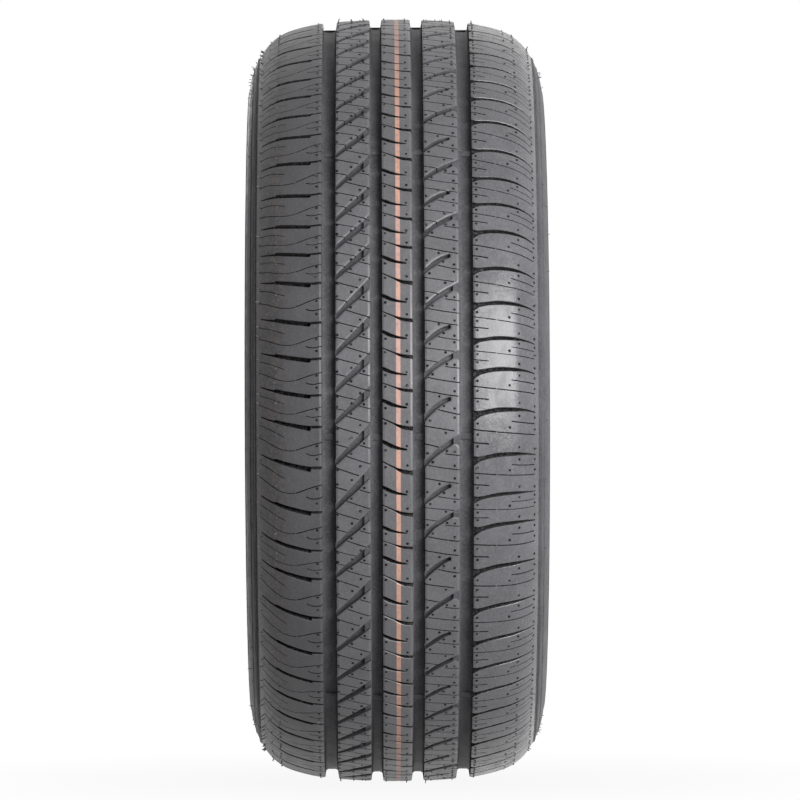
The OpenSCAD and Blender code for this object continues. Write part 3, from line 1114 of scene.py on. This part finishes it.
def seen(tree, node):
    """1 for what the camera sees straight, in a reflection or through glass."""
    names = ("Is Camera Ray", "Is Glossy Ray", "Is Transmission Ray")
    straight, mirrored, through = (Sum(tree, node.outputs[name]) for name in names)
    return straight.math("MAXIMUM", straight, straight.math("MAXIMUM", mirrored, through))


def floor_paint():
    """A white floor, on which the shadow shows only near the tyre."""
    shader = Shader("floor_paint")
    shader.set(Base_Color=(0.3, 0.3, 0.3, 1), Roughness=0.9, Specular_IOR_Level=0.1)
    x, y, _ = shader.axes(shader.place())
    near = ((x * x + y * y) ** 0.5).ramp(0.5, 0.1)
    white = seen(shader.tree, shader.node("ShaderNodeLightPath")) * (1 - near * 0.08)
    glow = shader.node("ShaderNodeEmission", Color=(1, 1, 1, 1), Strength=1.0)
    mixed = shader.node("ShaderNodeMixShader", Fac=white)
    shader.tree.links.new(shader.surface.outputs[0], mixed.inputs[1])
    shader.tree.links.new(glow.outputs[0], mixed.inputs[2])
    shader.tree.links.new(mixed.outputs[0], shader.output.inputs["Surface"])
    return shader.material


def add_floor():
    bm = bmesh.new()
    bmesh.ops.create_grid(bm, x_segments=1, y_segments=1, size=FLOOR_SIZE)
    bmesh.ops.translate(bm, vec=(0, 0, -TOP_R * MM - FLOOR_GAP), verts=bm.verts[:])
    mesh = bpy.data.meshes.new("floor")
    bm.to_mesh(mesh)
    bm.free()
    floor = bpy.data.objects.new("floor", mesh)
    bpy.context.collection.objects.link(floor)
    mesh.materials.append(floor_paint())
    floor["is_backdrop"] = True


def add_room(scene, sky):
    """A room that is white to look at, and lights the tyre evenly at a low strength."""
    world = bpy.data.worlds.new("room")
    scene.world = world
    world.use_nodes = True
    tree = world.node_tree
    white = seen(tree, tree.nodes.new("ShaderNodeLightPath"))
    back = tree.nodes["Background"]
    join(tree, white * (1 - sky) + sky, back.inputs["Strength"])
    back.inputs["Color"].default_value = (1, 1, 1, 1)


def add_camera(scene):
    data = bpy.data.cameras.new("camera")
    data.sensor_width = 36
    data.lens = CAMERA_LENS
    data.shift_x, data.shift_y = CAMERA_SHIFT
    data.clip_end = 100
    camera = bpy.data.objects.new("camera", data)
    camera.matrix_world = (
        Matrix.Rotation(math.radians(CAMERA_TURN), 4, "Z")
        @ Matrix.Translation((CAMERA_FAR, 0, 0))
        @ Matrix.Rotation(math.radians(CAMERA_ROLL), 4, "X")
        @ Matrix.Rotation(math.pi / 2, 4, "Z")
        @ Matrix.Rotation(math.pi / 2, 4, "X")
    )
    bpy.context.collection.objects.link(camera)
    scene.camera = camera


class TYRE_OT_stage(bpy.types.Operator):
    """Sets the floor, the light and the camera of the photograph"""

    bl_idname = "tyre.stage"
    bl_label = "Studio"

    def execute(self, context):
        scene = context.scene
        studio = scene.tyre_studio
        add_floor()
        add_room(scene, studio.sky)
        lamp("key", studio.key, KEY_SIZE, KEY_PLACE)
        lamp("back", studio.back, BACK_SIZE, BACK_PLACE)
        add_camera(scene)
        scene.view_settings.view_transform = "Standard"
        return {"FINISHED"}


class TYRE_PT_panel(bpy.types.Panel):
    """The sizes, the finish and the pieces of the tyre"""

    bl_label = "Road tyre"
    bl_idname = "TYRE_PT_panel"
    bl_space_type = "VIEW_3D"
    bl_region_type = "UI"
    bl_category = "Tyre"

    def draw(self, context):
        for group in (context.scene.tyre_sizes, context.scene.tyre_look, context.scene.tyre_studio):
            for key in group.__annotations__:
                self.layout.prop(group, key)
        for operator in OPERATORS:
            self.layout.operator(operator.bl_idname)


GROUPS = {"tyre_sizes": TyreSizes, "tyre_look": TyreLook, "tyre_studio": TyreStudio}
OPERATORS = (TYRE_OT_carcass, TYRE_OT_tread, TYRE_OT_stubs, TYRE_OT_stage)


def register():
    for cls in (*GROUPS.values(), *OPERATORS, TYRE_PT_panel):
        bpy.utils.register_class(cls)
    for name, group in GROUPS.items():
        setattr(bpy.types.Scene, name, bpy.props.PointerProperty(type=group))


def unregister():
    for name in GROUPS:
        delattr(bpy.types.Scene, name)
    for cls in (TYRE_PT_panel, *reversed(OPERATORS), *reversed(GROUPS.values())):
        bpy.utils.unregister_class(cls)


def main():
    register()
    bpy.ops.tyre.carcass()
    bpy.ops.tyre.tread()
    bpy.ops.tyre.stubs()
    bpy.ops.tyre.stage()
    boxes = {"cad": cad_box, "visual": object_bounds()}
    {name: [list(corner) for corner in box] for name, box in boxes.items()}


if __name__ == "__main__":
    main()
